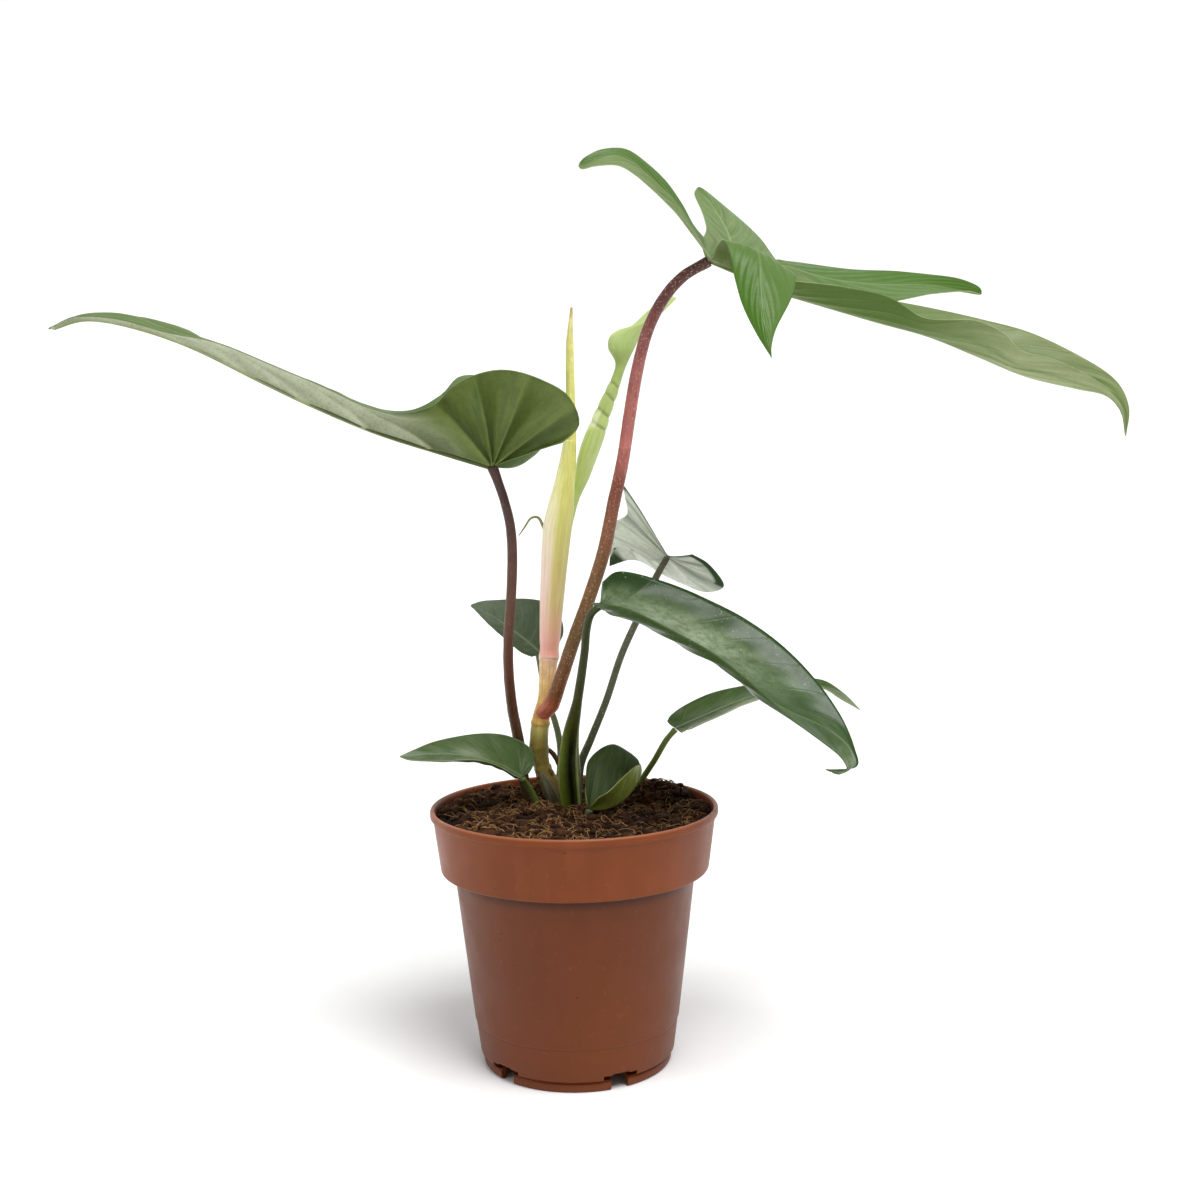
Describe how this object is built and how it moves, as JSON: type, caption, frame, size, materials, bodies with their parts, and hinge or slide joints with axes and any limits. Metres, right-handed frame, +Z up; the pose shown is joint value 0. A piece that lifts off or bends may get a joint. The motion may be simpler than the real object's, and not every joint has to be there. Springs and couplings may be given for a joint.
{
  "type": "potted philodendron",
  "caption": "Live climbing-aroid houseplant with long lobed leaves, new shoots and leaning stem, rooted in soil in a round plastic nursery pot.",
  "frame": {"origin": "centre of the pot's flat underside", "axes": "+Z up, along the pot's axis; +X to the right as seen from the front, along the plant's greatest spread"},
  "size_m": [0.4293, 0.1404, 0.368],
  "materials": {
    "pot": "satin",
    "soil": "matte",
    "stem": "satin",
    "roots": "matte",
    "spear": "satin",
    "new_leaf": "satin",
    "red_stalks": "satin",
    "green_stalks": "satin",
    "leaf_blades": "satin"
  },
  "bodies": {
    "root": {"pot": "pot", "soil": "soil", "stem": "stem", "old_sheath_base": "stem", "buried_roots": "roots", "aerial_root": "roots", "spear_sheath": "spear", "spear_leaf": "spear", "sheath_hook": "roots", "new_leaf": "new_leaf", "left_leaf_stalk": "red_stalks", "left_leaf_blade": "leaf_blades", "top_leaf_stalk": "red_stalks", "top_leaf_blade": "leaf_blades", "front_leaf_stalk": "green_stalks", "front_leaf_blade": "leaf_blades", "back_right_leaf_stalk": "green_stalks", "back_right_leaf_blade": "leaf_blades", "back_left_leaf_stalk": "green_stalks", "back_left_leaf_blade": "leaf_blades", "right_leaf_stalk": "green_stalks", "right_leaf_blade": "leaf_blades", "low_left_leaf_stalk": "green_stalks", "low_left_leaf_blade": "leaf_blades", "low_round_leaf_stalk": "green_stalks", "low_round_leaf_blade": "leaf_blades"}
  },
  "joints": []
}
